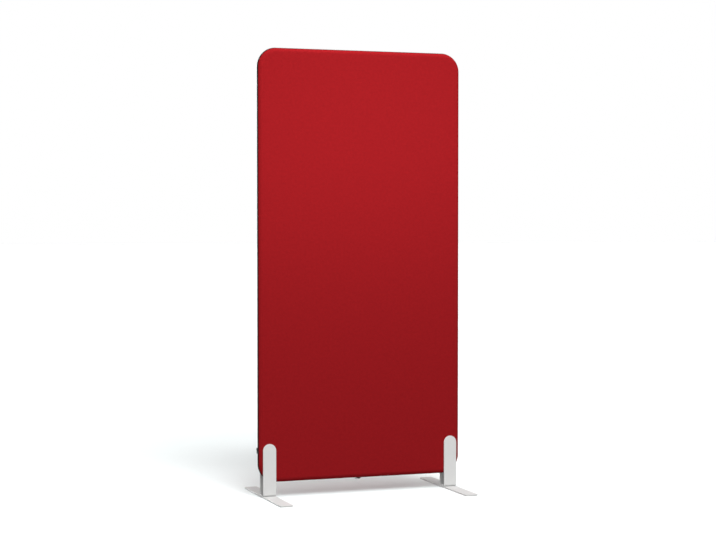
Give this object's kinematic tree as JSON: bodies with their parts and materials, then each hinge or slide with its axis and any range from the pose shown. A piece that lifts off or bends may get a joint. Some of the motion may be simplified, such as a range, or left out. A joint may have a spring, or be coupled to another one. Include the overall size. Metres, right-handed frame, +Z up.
{
  "type": "acoustic divider screen",
  "caption": "Free-standing acoustic divider screen: a padded, zip-edged fabric panel with round corners, held upright by flat steel feet.",
  "frame": {"origin": "on the floor, in the middle between the two feet, under the panel's middle plane", "axes": "+X along the panel's width to the right seen from the front, +Y from the front face to the rear face, +Z up"},
  "size_m": [0.8042, 0.46, 1.656],
  "materials": {
    "cover_fabric": "matte",
    "wadding_fleece": "matte",
    "core_felt": "matte",
    "zip_tape": "matte",
    "zip_coil": "satin",
    "zip_metal": "satin",
    "frame_wood": "matte",
    "dowel_wood": "matte",
    "white_steel": "satin",
    "zinc_steel": "satin",
    "pad_rubber": "matte"
  },
  "bodies": {
    "screen": {"front_cover": "cover_fabric", "rear_cover": "cover_fabric", "front_wadding": "wadding_fleece", "rear_wadding": "wadding_fleece", "upper_core": "core_felt", "lower_core": "core_felt", "left_stile": "frame_wood", "right_stile": "frame_wood", "top_rail": "frame_wood", "middle_rail": "frame_wood", "bottom_rail": "frame_wood", "top_left_corner_block": "frame_wood", "top_right_corner_block": "frame_wood", "bottom_left_corner_block": "frame_wood", "bottom_right_corner_block": "frame_wood", "frame_dowels": "dowel_wood", "front_zip_tape": "zip_tape", "rear_zip_tape": "zip_tape", "zip_seam_band": "zip_tape", "front_zip_coil": "zip_coil", "rear_zip_coil": "zip_coil", "zip_stops": "zip_metal", "left_bracket": "white_steel", "right_bracket": "white_steel", "left_foot_plate": "white_steel", "right_foot_plate": "white_steel", "left_floor_pads": "pad_rubber", "right_floor_pads": "pad_rubber", "threaded_inserts": "zinc_steel", "bracket_screws": "zinc_steel", "foot_plate_screws": "zinc_steel"},
    "left_slider": {"left_zip_slider": "zip_metal"},
    "left_pull": {"left_pull_tab": "zip_metal"},
    "bottom_slider": {"bottom_zip_slider": "zip_metal"},
    "bottom_pull": {"bottom_pull_tab": "zip_metal"}
  },
  "joints": [
    {"name": "left_slider_travel", "type": "slide", "parent": "screen", "child": "left_slider", "axis": [0, 0, 1], "range_m": [0, 1.395]},
    {"name": "left_pull_hinge", "type": "hinge", "parent": "left_slider", "child": "left_pull", "pos_m": [-0.40235, 0, 0.18], "axis": [0, 1, 0], "range_deg": [0, 170]},
    {"name": "bottom_slider_travel", "type": "slide", "parent": "screen", "child": "bottom_slider", "axis": [1, 0, 0], "range_m": [0, 0.325]},
    {"name": "bottom_pull_hinge", "type": "hinge", "parent": "bottom_slider", "child": "bottom_pull", "pos_m": [-0.003, 0, 0.05365], "axis": [0, -1, 0], "range_deg": [0, 170]}
  ]
}
